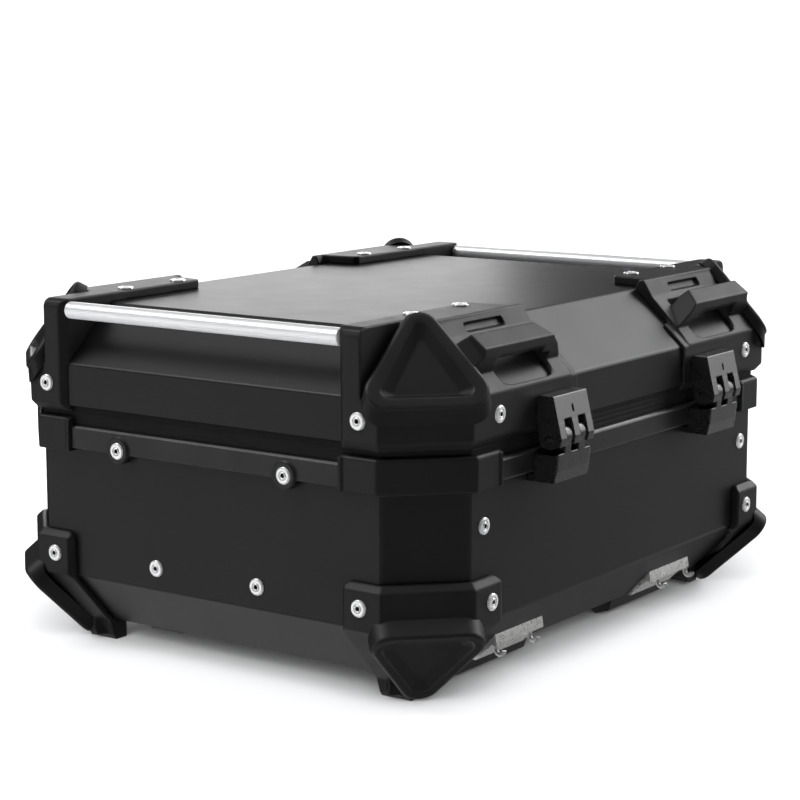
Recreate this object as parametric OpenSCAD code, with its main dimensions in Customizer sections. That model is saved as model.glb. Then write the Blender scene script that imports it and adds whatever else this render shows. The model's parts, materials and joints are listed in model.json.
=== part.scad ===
// Aluminium top case: a folded sheet box with a hinged lid, moulded corner armour,
// lash rails, two draw latches and a push-button release for a luggage rack.
// X runs along the hinge, +Y is the hinge side, -Y the latch side, +Z is up.

/* [Case] */
// Length of the sheet body along the hinge
body_l = 420; // [400:1:440]
// Width of the sheet body from latch side to hinge side
body_w = 331.2; // [320:0.2:340]
// Sheet thickness of the body and the lid
sheet = 2; // [1.5:0.1:2.5]
// Height of the body's underside above the ground
floor_z = 13; // [11:0.5:14]
// Height at which the lower slope meets the upright wall
bend_z = 49.5; // [46:0.5:53]
// How far the lower slope runs inwards
base_slope = 34; // [30:0.5:38]
// Top edge of the body's sheet wall
wall_top = 145.5; // [145:0.1:146]

/* [Lid] */
// Extra reach of the lid's skirt beyond the body, each side
lid_over = 4; // [3.6:0.1:4]
// Bottom edge of the lid's skirt
skirt_z = 158; // [157.9:0.1:159]
// Height of the bend between skirt and slope
lid_bend_z = 183.5; // [182:0.5:184]
// Height of the flat top
roof_z = 218; // [217:0.1:218]
// How far the lid's slope runs inwards
lid_slope = 39; // [36:0.5:40]

/* [Hinge and latch] */
// Distance of each hinge and latch from the middle
hinge_x = 95; // [90:1:97]
// Width of one hinge
hinge_w = 38; // [34:1:38]
// Hinge pin's place behind the middle
pin_y = 180; // [179.5:0.1:180]
// Height of the hinge pin
pin_z = 152; // [151.5:0.1:152]
// Hinge pin radius
pin_r = 2.5; // [2:0.1:3]
// Play between a pin and what turns on it
play = 0.05; // [0.02:0.01:0.09]

/* [Fittings] */
// Radius of a rivet head
rivet_r = 5.2; // [4.5:0.1:5.6]
// Radius of a lash rail
rail_r = 5.25; // [4.5:0.05:5.4]
// Height of a lash rail's axis
rail_z = 217; // [216:0.1:217.5]
// Distance of a lash rail from the middle
rail_x = 212; // [211:0.1:212.2]

/* [Hidden] */
$fn = 32;

sheet_black = [0.07, 0.07, 0.075];
plastic_black = [0.05, 0.05, 0.055];
rubber_black = [0.03, 0.03, 0.03];
steel = [0.8, 0.8, 0.82];
bright = [0.92, 0.93, 0.95];

// Half sizes of the body and the lid; w is measured outwards along a corner's diagonal
half_x = body_l / 2;
half_y = body_w / 2;
corner_cut = 36.5;
half_w = (half_x + half_y - corner_cut) / sqrt(2);
lid_x = half_x + lid_over;
lid_y = half_y + lid_over - 0.6;
lid_w = half_w + lid_over - 0.8;
// A corner's middle, measured sideways from the diagonal
corner_s = (half_y - half_x) / sqrt(2);
// Larger than the case, for cutting planes
far = 400;
// Clearance between pieces that don't touch
gap = 0.3;

// Half profiles, bottom to top, as [reach, z]
function base_profile(reach) = [
    [reach - base_slope, floor_z], [reach, bend_z], [reach, wall_top]
];
function lid_profile(reach) = [
    [reach, skirt_z], [reach, lid_bend_z], [reach - lid_slope, roof_z]
];
function mirrored(half) = concat(
    half, [for (i = [len(half) - 1 : -1 : 0]) [-half[i][0], half[i][1]]]
);

// An outline of [y, z] points run along X, of [x, z] points run along Y,
// and of [w, z] points run sideways across the corner diagonal
module along_x(x0, x1, outline) {
    translate([x0, 0, 0]) rotate([90, 0, 90]) linear_extrude(x1 - x0) polygon(outline);
}

module along_y(y0, y1, outline) {
    translate([0, y1, 0]) rotate([90, 0, 0]) linear_extrude(y1 - y0) polygon(outline);
}

module along_s(s0, s1, outline) {
    rotate([0, 0, 45]) along_y(s0, s1, outline);
}

module block(low, high) {
    translate(low) cube(high - low);
}

// A solid with eight sides in plan, from its three half profiles
module eight_sided(px, py, pw) {
    intersection() {
        along_y(-far, far, mirrored(px));
        along_x(-far, far, mirrored(py));
        along_s(-far, far, mirrored(pw));
        rotate([0, 0, 90]) along_s(-far, far, mirrored(pw));
    }
}

module base_solid() {
    eight_sided(base_profile(half_x), base_profile(half_y), base_profile(half_w));
}

module lid_solid() {
    eight_sided(lid_profile(lid_x), lid_profile(lid_y), lid_profile(lid_w));
}

// An upright eight-sided ring between two offsets from the body's wall
module wall_ring(outer, inner, z0, z1) {
    difference() {
        upright(outer, z0, z1);
        upright(inner, z0 - 1, z1 + 1);
    }
}

module upright(by, z0, z1) {
    span = [[by, z0], [by, z1]];
    eight_sided(
        [for (p = span) [half_x + p[0], p[1]]],
        [for (p = span) [half_y + p[0], p[1]]],
        [for (p = span) [half_w + p[0], p[1]]]
    );
}

// The part of its children that wraps the (+X, +Y) corner
module corner_wrap(end_edge, side_edge) {
    end_in = half_x - base_slope - 20;
    side_in = half_y - base_slope - 20;
    intersection() {
        children();
        union() {
            block([end_in, end_edge, 0], [far, far, far]);
            block([side_edge, side_in, 0], [far, far, far]);
        }
    }
}

// Moves a piece made for the (+X, +Y) corner to another corner
module at_corner(sx, sy) {
    mirror([sx < 0 ? 1 : 0, 0, 0]) mirror([0, sy < 0 ? 1 : 0, 0]) children();
}

// Turns a piece made at the origin facing +Z to face out of a side
module facing_x(at) {
    translate(at) rotate([0, 90, 0]) children();
}

module facing_y(at) {
    translate(at) rotate([-90, 0, 0]) children();
}

module rod_x(x0, x1, y, z, r) {
    translate([x0, y, z]) rotate([0, 90, 0]) cylinder(h = x1 - x0, r = r);
}

module rod_y(y0, y1, x, z, r) {
    translate([x, y0, z]) rotate([-90, 0, 0]) cylinder(h = y1 - y0, r = r);
}

// Blind rivet head with its hollow middle
module rivet() {
    rotate_extrude() polygon([
        [0, 0], [rivet_r, 0], [rivet_r, 0.5], [rivet_r * 0.75, 1.5],
        [1.8, 1.6], [1.4, 0.6], [0, 0.6]
    ]);
}

// ---------------------------------------------------------------- body

module base_shell() {
    color(sheet_black) difference() {
        base_solid();
        eight_sided(
            shell_inner(half_x), shell_inner(half_y), shell_inner(half_w)
        );
    }
}

// Inside of the body's sheet, a little over one sheet in from its outside
function shell_inner(reach) = [
    [reach - base_slope - sheet * 0.6, floor_z + sheet],
    [reach - sheet, bend_z + sheet * 0.4],
    [reach - sheet, wall_top + 1]
];

// Rubber profile that the lid closes on
seal_top = skirt_z - gap;
seal_out = 1;
seal_in = -5;

module base_seal() {
    color(rubber_black) wall_ring(seal_out, seal_in, wall_top, seal_top);
}

// Foam mat on the inside of the floor
module base_liner() {
    mat_t = 3;
    inset = 6;
    reach = -base_slope - inset;
    z0 = floor_z + sheet;
    color(rubber_black) upright(reach, z0, z0 + mat_t);
}

// Rivets in the plain sheet: two in each end, one near each corner of the long sides
end_rivet_y = 39.2;
end_rivet_z = 63;
side_rivet_x = 160;
side_rivet_z = 107;

module base_rivets() {
    color(steel) for (sx = [-1, 1], sy = [-1, 1]) at_corner(sx, sy) {
        facing_x([half_x, end_rivet_y, end_rivet_z]) rivet();
        facing_y([side_rivet_x, half_y, side_rivet_z]) rivet();
        facing_x([half_x + boss_reach, rail_rivet_y, rail_rivet_z]) rivet();
    }
}

// Rim rails: straight strips along the top of the wall
rail_low = 130.5;
rail_high = 145.5;
rail_reach = 4.4;
boss_reach = 5.4;
rail_rivet_y = 64.3;
rail_rivet_z = 133.7;
corner_end_y = 103.5;
corner_end_x = 149;

function rim_outline(face) = [
    [face, rail_low], [face + rail_reach, rail_low + 1],
    [face + rail_reach, rail_high - 1.5], [face + rail_reach - 1.5, rail_high],
    [face, rail_high]
];

module rim_rail_end() {
    boss_r = 8.5;
    color(plastic_black) union() {
        along_y(-corner_end_y + gap, corner_end_y - gap, rim_outline(half_x));
        for (y = [-rail_rivet_y, rail_rivet_y])
            facing_x([half_x, y, rail_rivet_z]) cylinder(h = boss_reach, r = boss_r);
    }
}

module rim_rail_side() {
    color(plastic_black)
        along_x(-corner_end_x + gap, corner_end_x - gap, rim_outline(half_y));
}

// Rim corners: moulded covers over the rail ends
cover_reach = 5.5;
cover_w = 4.5;
cover_low = 129;
cover_high = 150.5;

module rim_corner(sx, sy) {
    lip = 1;
    lip_w = 2.5;
    color(plastic_black) at_corner(sx, sy) {
        corner_wrap(corner_end_y, corner_end_x) difference() {
            eight_sided(
                cover_profile(half_x + cover_reach), cover_profile(half_y + cover_reach),
                cover_profile(half_w + cover_w)
            );
            upright(0, cover_low - 1, wall_top);
            upright(seal_out + gap, wall_top - 1, cover_high + 1);
        }
        block([half_x + cover_reach, corner_end_y, cover_low],
            [half_x + cover_reach + lip, corner_end_y + lip_w, cover_high - 1]);
        block([corner_end_x, half_y + cover_reach, cover_low],
            [corner_end_x + lip_w, half_y + cover_reach + lip, cover_high - 1]);
    }
}

function cover_profile(reach) = [
    [reach, cover_low], [reach, cover_high - 1.5], [reach - 1.5, cover_high]
];

// Lower corner guards: wrap the corner, run down the end slope and end in a foot
guard_t = 6;
guard_w = 6.9;
guard_low_top = 82;
guard_end_y = 104.5;
guard_side_x = 149;
tip_half = 17;

function low_guard_profile(reach, t) = [
    [reach - base_slope + t, floor_z], [reach + t, bend_z + 0.5],
    [reach + t, guard_low_top - 4], [reach + t - 4, guard_low_top]
];

// Height up to which the foot and tip run into the guard
merge_z = 18;
foot_x0 = 166;
foot_x1 = 178;

// Foot that the case stands on
module guard_foot() {
    foot_y1 = 127;
    along_y(guard_end_y, foot_y1, [
        [foot_x0, 0], [foot_x1 - 2, 0], [foot_x1, 3],
        [half_x - base_slope + guard_t - 0.2, floor_z + 1], [foot_x1 + 6, merge_z],
        [foot_x0, merge_z]
    ]);
}

// Thick lower end of the guard on the corner diagonal
module guard_tip() {
    tip_in = 196;
    along_s(corner_s - tip_half, corner_s + tip_half, [
        [tip_in, merge_z], [tip_in + 4, 3], [tip_in + 15, 3], [tip_in + 17, 9],
        [half_w - base_slope + guard_w - 0.3, floor_z + 1], [tip_in + 17, merge_z]
    ]);
}

module base_guard(sx, sy) {
    cut_y = 131;
    color(plastic_black) at_corner(sx, sy) difference() {
        union() {
            corner_wrap(guard_end_y, guard_side_x) guard_space();
            guard_foot();
            guard_tip();
        }
        base_core();
        end_bevel(half_x + guard_t, guard_end_y, 3);
        along_y(cut_y, far, [
            [100, 0], [100, 46], [guard_side_x, 46], [guard_side_x + 8, 44],
            [174, floor_z], [174, 0]
        ]);
    }
}

// Everything inside the lower guards' outer faces
module guard_space() {
    eight_sided(
        low_guard_profile(half_x, guard_t), low_guard_profile(half_y, guard_t),
        low_guard_profile(half_w, guard_w)
    );
}

// The body's outside, run on upwards past the wall
module base_core() {
    eight_sided(core_profile(half_x), core_profile(half_y), core_profile(half_w));
}

function core_profile(reach) = [
    [reach - base_slope, floor_z], [reach, bend_z], [reach, far / 2]
];

// A rounded triangle [half width, height] with corner radius r, standing in the YZ plane
// with its base at z = 0, from x0 to x1, its edge rounded off by the bevel
module rounded_triangle(half, height, r, x0, x1, bevel) {
    hull() for (c = [[-half + r, r], [half - r, r], [0, height - r]])
        translate([0, c[0], c[1]]) rotate([0, 90, 0]) {
            translate([0, 0, x0]) cylinder(h = x1 - x0 - abs(bevel), r = r);
            translate([0, 0, x0]) cylinder(h = x1 - x0, r = r - bevel);
        }
}

// Corner pad: rounded triangular bumper with a sunk panel
module corner_pad(half, height, r, thick) {
    border = 11;
    depth = 4;
    difference() {
        rounded_triangle(half, height, r, -thick, 0, 2);
        translate([0, 0, border * 0.85]) hull() {
            flat_triangle(half - border * 1.2, height - border * 2.1, 5, 0.5);
            translate([0, 0, 3]) flat_triangle(half - border * 1.7, height - border * 2.1 - 9, 2, -depth);
        }
    }
}

module flat_triangle(half, height, r, x) {
    for (c = [[-half + r, r], [half - r, r], [0, height - r]])
        translate([x, c[0], c[1]]) rotate([0, 90, 0]) cylinder(h = 0.1, r = r);
}

// Places a pad on the corner diagonal: w and z of its base line, leaning inwards
module on_corner(w, z, lean) {
    rotate([0, 0, 45]) translate([w, corner_s, z]) rotate([0, -lean, 0]) children();
}

base_pad_half = 34;
base_pad_height = 66.5;
base_pad_lean = 39.7;

module base_pad(sx, sy) {
    ledge_z = 59;
    color(plastic_black) at_corner(sx, sy) difference() {
        union() {
            translate([0, 0, 52.5]) mirror([0, 0, 1]) on_corner(256.6, 2.5, base_pad_lean)
                corner_pad(base_pad_half, base_pad_height, pad_r, pad_t);
            along_s(corner_s - base_pad_half + 4, corner_s + base_pad_half - 4, [
                [half_w + guard_w, 44], [253.6, 46.5], [251.8, ledge_z], [half_w + guard_w, ledge_z + 1]
            ]);
        }
        guard_space();
        guard_foot();
        guard_tip();
        block([100, 60, -far], [far, far, 0]);
    }
}

// Moulded pan under the floor that the rack plate receives
module mount_pan() {
    pan_x = 148;
    pan_y = 112;
    foot_h = 7;
    color(plastic_black) {
        difference() {
            block([-pan_x, -pan_y, foot_h - 2], [pan_x, pan_y, floor_z]);
            block([-60, -pan_y - 1, foot_h - 3], [60, -60, foot_h + 2.5]);
            block([-pan_x + 14, -46, foot_h - 3], [pan_x - 14, 46, foot_h + 2.5]);
        }
        for (sx = [-1, 1], sy = [-1, 1]) at_corner(sx, sy)
            block([112, 78, 0], [pan_x - 6, pan_y - 6, foot_h - 2]);
        for (sx = [-1, 1]) at_corner(sx, 1) along_x(52, 128, [
            [pan_y, floor_z], [pan_y, 3], [pan_y + 4, 1], [pan_y + 14, 4], [pan_y + 17, floor_z]
        ]);
    }
}

// Steel hooks on the lower slope of the hinge side
hook_x0 = 67.5;
hook_x1 = 120.5;
hook_bars_x = [80.5, 118.3];

module hook_plate(sx) {
    low_y = half_y - base_slope;
    top_z = 31;
    shelf_z = 24;
    lip_y = 149.3;
    wire_r = 1.5;
    drop = 2.6;
    color(steel) at_corner(sx, 1) {
        along_x(hook_x0, hook_x1, [
            [low_y, floor_z], [low_y + (top_z - floor_z) * slope_run, top_z],
            [lip_y, shelf_z + 1.4], [lip_y, shelf_z], [lip_y - 3.6, shelf_z], [low_y + 3, floor_z]
        ]);
        for (x = hook_bars_x)
            translate([x, lip_y - wire_r - 0.2, shelf_z - drop]) hook_bar(wire_r, drop);
    }
}

// Round bar that runs down and curls back up
module hook_bar(r, drop) {
    bend = 2.8;
    cylinder(h = drop, r = r);
    translate([0, bend, 0]) rotate([0, 90, 0]) rotate([0, 0, -90])
        rotate_extrude(angle = 180) translate([bend, 0]) circle(r = r);
}

// ---------------------------------------------------------------- hinges

knuckle_r = 6.6;
hinge_front = 189;
hinge_x0 = hinge_x - hinge_w / 2;
hinge_x1 = hinge_x + hinge_w / 2;
knuckles = 5;
knuckle_w = hinge_w / knuckles;
guard_y = half_y + 5.9;

module hinge_base(sx) {
    low_z = 125.5;
    top_z = 145;
    wall = half_y;
    rail_y = half_y + rail_reach + 0.1;
    // Below the sweep of the lid's fingers
    step_z = pin_z - knuckle_r - 3.2;
    color(plastic_black) at_corner(sx, 1) difference() {
        union() {
            along_x(hinge_x0, hinge_x1, [
                [wall, low_z], [184, low_z], [185.3, 131], [186.5, step_z],
                [rail_y, step_z], [rail_y, rail_low - gap], [wall, rail_low - gap]
            ]);
            for (i = [1, 3]) {
                rod_x(finger(i) + gap, finger(i + 1) - gap, pin_y, pin_z, knuckle_r);
                along_x(finger(i) + gap, finger(i + 1) - gap, [
                    [pin_y - knuckle_r, top_z - 4], [186.3, top_z - 4], [187, 148],
                    [pin_y + knuckle_r, pin_z], [pin_y - knuckle_r, pin_z]
                ]);
            }
        }
        rod_x(hinge_x0 - 1, hinge_x1 + 1, pin_y, pin_z, pin_r);
        for (i = [0, 2, 4]) block(
            [finger(i) + 1.6, 181, 133], [finger(i + 1) - 1.6, 190, 142]);
    }
}

// Start of a hinge finger, counted from the inner edge
function finger(i) = hinge_x0 + i * knuckle_w;
// The lid's fingers stand off the body's; the outermost faces are flush
function lid_start(i) = finger(i) + (i > 0 ? gap : 0);
function lid_end(i) = finger(i + 1) - (i < knuckles - 1 ? gap : 0);

module hinge_lid(sx) {
    top_z = 177;
    plate_z = 160.5;
    color(plastic_black) at_corner(sx, 1) difference() {
        union() {
            along_x(hinge_x0, hinge_x1, [
                [guard_y, plate_z], [guard_y, top_z - 1.5], [guard_y + 1.5, top_z],
                [183, top_z], [hinge_front - 2.1, plate_z]
            ]);
            for (i = [0, 2, 4]) {
                rod_x(lid_start(i), lid_end(i), pin_y, pin_z, knuckle_r);
                along_x(lid_start(i), lid_end(i), [
                    [pin_y - knuckle_r, pin_z], [guard_y + 0.2, plate_z + 1],
                    [hinge_front - 2.3, plate_z + 1], [hinge_front, pin_z],
                    [hinge_front - 1, pin_z - 4.5], [pin_y + 4, pin_z - knuckle_r + 1.2]
                ]);
            }
        }
        rod_x(hinge_x0 - 1, hinge_x1 + 1, pin_y, pin_z, pin_r + play);
        for (i = [1, 3])
            rod_x(finger(i) - gap, finger(i + 1) + gap, pin_y, pin_z, knuckle_r + 2 * gap);
        block([hinge_x - 0.6, 183, 166], [hinge_x + 0.6, 190, 170]);
    }
}

module hinge_pins() {
    color(steel) for (sx = [-1, 1]) at_corner(sx, 1)
        rod_x(hinge_x0 + 0.5, hinge_x1 - 0.5, pin_y, pin_z, pin_r);
}

// ---------------------------------------------------------------- lid

module lid_shell() {
    color(sheet_black) difference() {
        lid_solid();
        eight_sided(lid_inner(lid_x), lid_inner(lid_y), lid_inner(lid_w));
    }
}

function lid_inner(reach) = [
    [reach - sheet, skirt_z - 1], [reach - sheet, lid_bend_z - sheet * 0.4],
    [reach - lid_slope - sheet * 0.4, roof_z - sheet]
];

// Channel frame inside the skirt that presses on the seal
module lid_rim() {
    rim_h = 7;
    rim_w = 7;
    color(sheet_black) difference() {
        eight_sided(
            rim_span(lid_x - sheet, rim_h), rim_span(lid_y - sheet, rim_h),
            rim_span(lid_w - sheet, rim_h)
        );
        upright(-rim_w + 1.5, skirt_z - 1, skirt_z + rim_h + 1);
    }
}

function rim_span(reach, h) = [[reach, skirt_z], [reach, skirt_z + h]];

// Foam panel under the roof
module lid_liner() {
    t = 2.5;
    z1 = roof_z - sheet;
    inset = lid_slope + 4;
    color(rubber_black) upright(lid_over - inset, z1 - t, z1);
}

// Rivets of the upper guards: one in each wing, two in each top plate
top_plate_z = roof_z + 6;
top_rivets_x = [103, 153.5];
top_rivet_y = 111;
wing_rivet_y = 119.3;
wing_rivet_x = 153;
wing_rivet_z = 171.5;
guard_face_x = half_x + 8;

module lid_rivets() {
    color(steel) for (sx = [-1, 1], sy = [-1, 1]) at_corner(sx, sy) {
        facing_x([guard_face_x, wing_rivet_y, wing_rivet_z]) rivet();
        facing_y([wing_rivet_x, guard_y, wing_rivet_z]) rivet();
        for (x = top_rivets_x) translate([x, top_rivet_y, top_plate_z]) rivet();
    }
}

// Rivets of the lower guards
low_rivet_y = 118;
low_rivet_x = 160;
low_rivet_z = 63.2;

module guard_rivets() {
    color(steel) for (sx = [-1, 1], sy = [-1, 1]) at_corner(sx, sy) {
        facing_x([half_x + guard_t, low_rivet_y, low_rivet_z]) rivet();
        facing_y([low_rivet_x, half_y + guard_t, low_rivet_z]) rivet();
    }
}

// Upper corner guards
lip_z = 154;
band_z = 159;
fin_y0 = 104;
fin_y1 = 121;
side_edge_x = 67;
lid_pad_w = 254.7;
lid_pad_z = 175.6;
lid_pad_lean = 34;
lid_pad_half = 34;
lid_pad_height = 66;
pad_t = 8;
pad_r = 12;
pocket_x0 = 89;
pocket_x1 = 145;

function band_profile(reach, drop) = [
    [reach - drop, lip_z], [reach, band_z], [reach, lid_bend_z]
];

module lid_guard(sx, sy) {
    color(plastic_black) at_corner(sx, sy) difference() {
        union() {
            guard_band();
            guard_fin();
            guard_top_plate();
            guard_slope_cover();
            guard_bar();
            pad_backing();
        }
        lid_solid();
        upright(seal_out + gap, 0, skirt_z + 1);
        end_bevel(guard_face_x, fin_y0, 4.5);
        guard_pocket();
        guard_slot();
        lid_pad_space();
    }
}

// Wedge that takes off the outer edge of a wing, seen in plan
module end_bevel(face, edge, cut) {
    over = 1;
    linear_extrude(far) polygon([
        [face - cut - over, edge - over], [face + over, edge - over], [face + over, edge + cut + over]
    ]);
}

// Band around the skirt, with a lip turned under its edge
module guard_band() {
    corner_wrap(fin_y0, side_edge_x) eight_sided(
        band_profile(guard_face_x, 4), band_profile(guard_y, 4),
        band_profile(half_w + 8.4, 4.7)
    );
}

// Upright fin that carries the end of the lash rail
module guard_fin() {
    along_y(fin_y0, fin_y1, [
        [lid_x - 4, band_z], [guard_face_x, band_z], [guard_face_x, top_plate_z - 5],
        [guard_face_x - 1.5, top_plate_z - 1.5], [guard_face_x - 5, top_plate_z],
        [lid_x - lid_slope - 6, top_plate_z], [lid_x - lid_slope - 6, roof_z - 2],
        [lid_x - 4, lid_bend_z - 3]
    ]);
}

// Plate over the flat top, from the fin in to a cut-off end
module guard_top_plate() {
    flat_x = lid_x - lid_slope;
    translate([0, 0, roof_z]) linear_extrude(top_plate_z - roof_z) polygon([
        [86, 108], [89, 105.5], [flat_x + 1, fin_y0], [flat_x + 1, 137.5], [92, 137],
        [82, 132]
    ]);
}

// Thick cover on the long slope, down to a ledge above the band
module guard_slope_cover() {
    ledge_y = 161.5;
    ledge_z = 195.3;
    edge_x = 74;
    intersection() {
        along_x(edge_x, 195, [
            [130, roof_z - 1], [133, top_plate_z], [136.5, top_plate_z], [143, 213.5],
            [ledge_y, ledge_z], [guard_y, 184.3], [guard_y, 180], [lid_y - 2, 180]
        ]);
        under_pad();
        union() {
            block([side_edge_x, 155, 170], [far, far, far]);
            along_x(side_edge_x, far, [[120, 170], [156, 170], [156, far], [120, far]]);
        }
    }
    along_x(side_edge_x, edge_x + 0.5, [
        [ledge_y - 7, 198.5], [ledge_y - 1, ledge_z - 1.5], [guard_y, 183.5], [guard_y, 180],
        [lid_y - 2, 180]
    ]);
}

// Space behind the back face of the corner pad
module under_pad() {
    lean = tan(lid_pad_lean);
    w0 = lid_pad_w - pad_t * cos(lid_pad_lean);
    z0 = lid_pad_z - pad_t * sin(lid_pad_lean);
    rise = 70;
    along_s(-far, far, [
        [0, 100], [w0, 100], [w0, z0], [w0 - rise * lean, z0 + rise], [0, z0 + rise]
    ]);
}

// Tie-down bar that bridges the finger pocket
bar_upper = [[153, 212.6], [157.8, 217.2], [168.2, 209.5], [167.6, 204.6]];
// The bar's ends run down into the cover
bar_end = concat([[150, 205]], bar_upper, [[164.5, 198], [161.5, 193], [150, 203]]);

module guard_bar() {
    bar_x0 = 97;
    bar_x1 = 163;
    along_x(bar_x0, bar_x1, concat(bar_upper, [[164.5, 201.5], [159, 204.5]]));
    intersection() {
        along_x(side_edge_x + 6, bar_x0 + 0.5, bar_end);
        along_y(100, far, [
            [75, 190], [75, 196], [bar_x0, 218], [bar_x0 + 1, 218], [bar_x0 + 1, 190]
        ]);
    }
    intersection() {
        along_x(pocket_x1 + 2, 178, bar_end);
        under_pad();
    }
}

// Opening under the bar, through the cover to the lid's slope
module guard_pocket() {
    along_x(pocket_x0, pocket_x1, [
        [146, 170], [167, 181], [169.6, 184.6], [169, 190], [163.5, 201], [158.6, 204.3],
        [150, 212.3], [146, 212.3]
    ]);
}

// Slot for a luggage strap behind the bar
module guard_slot() {
    along_x(102, 142, [[128, 214.6], [143.2, 214.6], [143.2, 219.6], [128, 219.6]]);
}

// Solid that carries the corner pad
module pad_backing() {
    on_corner(lid_pad_w, lid_pad_z, lid_pad_lean)
        rounded_triangle(lid_pad_half - 1, lid_pad_height - 1, 11, -pad_t - 20, -pad_t, 0);
}

// Seat of the corner pad, open to the outside
module lid_pad_space() {
    on_corner(lid_pad_w, lid_pad_z, lid_pad_lean)
        rounded_triangle(lid_pad_half, lid_pad_height, pad_r, -pad_t, 3, 0);
}

module lid_pad(sx, sy) {
    color(plastic_black) at_corner(sx, sy) difference() {
        on_corner(lid_pad_w, lid_pad_z, lid_pad_lean)
            corner_pad(lid_pad_half, lid_pad_height, pad_r, pad_t);
        lid_solid();
    }
}

// Bright tube between two fins
module side_rail(sx) {
    color(bright) at_corner(sx, 1) rod_y(-fin_y0, fin_y0, rail_x, rail_z, rail_r);
}

// ---------------------------------------------------------------- latches

lever_pin_y = -177;
lever_pin_z = 96;
claw_pin_y = -175.5;
claw_pin_z = 118;
latch_r = 2.5;
lever_half = 21.5;
lever_wall = 4;
lever_face = -189;
lever_top = 150;
keeper_face = -178;
lock_z = 107;
lock_r = 6;

module at_latch(sx) {
    translate([sx * hinge_x, 0, 0]) children();
}

module latch_housing(sx) {
    cheek = 3;
    inner = lever_half + gap;
    plate_y = -170;
    low = 86;
    high = rail_low - gap;
    color(plastic_black) at_latch(sx) difference() {
        union() {
            block([-inner - cheek, plate_y, low], [inner + cheek, -half_y, high]);
            for (x = [-inner - cheek, inner]) along_x(x, x + cheek, [
                [-half_y, low], [-178, low], [-184, 91], [-184, 102], [plate_y, high - 6],
                [-half_y, high]
            ]);
        }
        rod_x(-inner - cheek - 1, inner + cheek + 1, lever_pin_y, lever_pin_z, latch_r);
    }
}

module latch_pins() {
    reach = lever_half + 3;
    color(steel) for (sx = [-1, 1]) at_latch(sx)
        rod_x(-reach, reach, lever_pin_y, lever_pin_z, latch_r);
}

module latch_lever(sx) {
    front_t = 4;
    side_in = -172.5;
    color(plastic_black) at_latch(sx) difference() {
        union() {
            along_x(-lever_half, lever_half, [
                [lever_face + front_t, 93], [lever_face + 1.5, 93], [lever_face, 96],
                [lever_face, lever_top - 8], [lever_face + 2, lever_top],
                [lever_face + front_t + 2, lever_top]
            ]);
            for (x = [-lever_half, lever_half - lever_wall]) {
                along_x(x, x + lever_wall, [
                    [side_in, 97], [-173.5, 91], [lever_pin_y, 89.5], [lever_face + 3, 93],
                    [lever_face + 3, lever_top - 2], [lever_face + 6, lever_top - 2], [side_in, 128]
                ]);
            }
            rod_y(lever_face + 0.5, lever_face + 8.5, 0, lock_z, lock_r + 3);
        }
        rod_x(-lever_half - 1, lever_half + 1, lever_pin_y, lever_pin_z, latch_r + play);
        rod_x(-lever_half - 1, lever_half + 1, claw_pin_y, claw_pin_z, latch_r + play);
        rod_y(lever_face - 1, lever_face + 9, 0, lock_z, lock_r + play);
    }
}

module latch_lock(sx) {
    cam_y = lever_face + 9;
    color(steel) at_latch(sx) difference() {
        union() {
            rod_y(lever_face + 0.6, cam_y, 0, lock_z, lock_r);
            rod_y(cam_y - 0.01, cam_y + 1.6, 0, lock_z, 3);
            block([-2.5, cam_y, lock_z - 6.8], [2.5, cam_y + 1.6, lock_z]);
        }
        block([-0.7, lever_face, lock_z - 3.6], [0.7, lever_face + 3.6, lock_z + 3.6]);
    }
}

module latch_claw(sx) {
    claw_half = 13;
    trunnion = lever_half - 0.5;
    face = keeper_face - 0.4;
    color(steel) at_latch(sx) {
        rod_x(-trunnion, trunnion, claw_pin_y, claw_pin_z, latch_r);
        along_x(-claw_half, claw_half, [
            [claw_pin_y - 2.8, claw_pin_z - 3.6], [claw_pin_y + 2, claw_pin_z - 4.5],
            [claw_pin_y + 4, claw_pin_z - 2], [claw_pin_y + 4, claw_pin_z + 3],
            [-175, 128], [-176.5, 150], [face, 158], [face, 181], [face - 1.5, 182.5],
            [face - 3.6, 181], [face - 3.6, 157], [-180.5, 148], [claw_pin_y - 4, 124]
        ]);
    }
}

// Hooks on the lid that the claws pull on
module latch_keepers() {
    keeper_half = 15;
    color(steel) for (sx = [-1, 1]) at_latch(sx) along_x(-keeper_half, keeper_half, [
        [-guard_y, 160], [-174, 160], [-174, 170], [keeper_face, 173], [keeper_face, 177.5],
        [keeper_face + 1.8, 178.5], [-174, 175.5], [-174, 178], [-guard_y, 178]
    ]);
}

// ---------------------------------------------------------------- rack release

button_half = 16;
button_z0 = 15;
button_z1 = 27;
button_face = -160.5;
bolt_half = 11;
bolt_z0 = 3.2;
bolt_z1 = 9.2;
bolt_nose = -106;
bolt_back = -136;
release_lock_x = 32;
release_lock_z = 21;
// Back walls of the housing's pockets for the bolt's spring and the lock
spring_back = -145.8;
lock_back = -145.8;
button_back = -139;
button_travel = 5;
// Inward run of the lower slope for each unit of height
slope_run = base_slope / (bend_z - floor_z);
pan_edge = 112.3;

module release_housing() {
    half = 46;
    face = -158;
    low_y = half_y - base_slope;
    top = 38;
    color(plastic_black) difference() {
        along_x(-half, half, [
            [-pan_edge, floor_z], [-low_y, floor_z], [-low_y - (top - floor_z) * slope_run, top],
            [face, top], [face, 8], [face + 7, 1.5], [-pan_edge, 1.5]
        ]);
        block([-button_half - gap, face - 1, button_z0 - gap],
            [button_half + gap, button_back, button_z1 + gap]);
        block([-bolt_half - gap, spring_back - 6, bolt_z0 - gap],
            [bolt_half + gap, -pan_edge + 1, bolt_z1 + gap]);
        rod_y(face - 1, lock_back, release_lock_x, release_lock_z, lock_r + play);
    }
}

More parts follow.
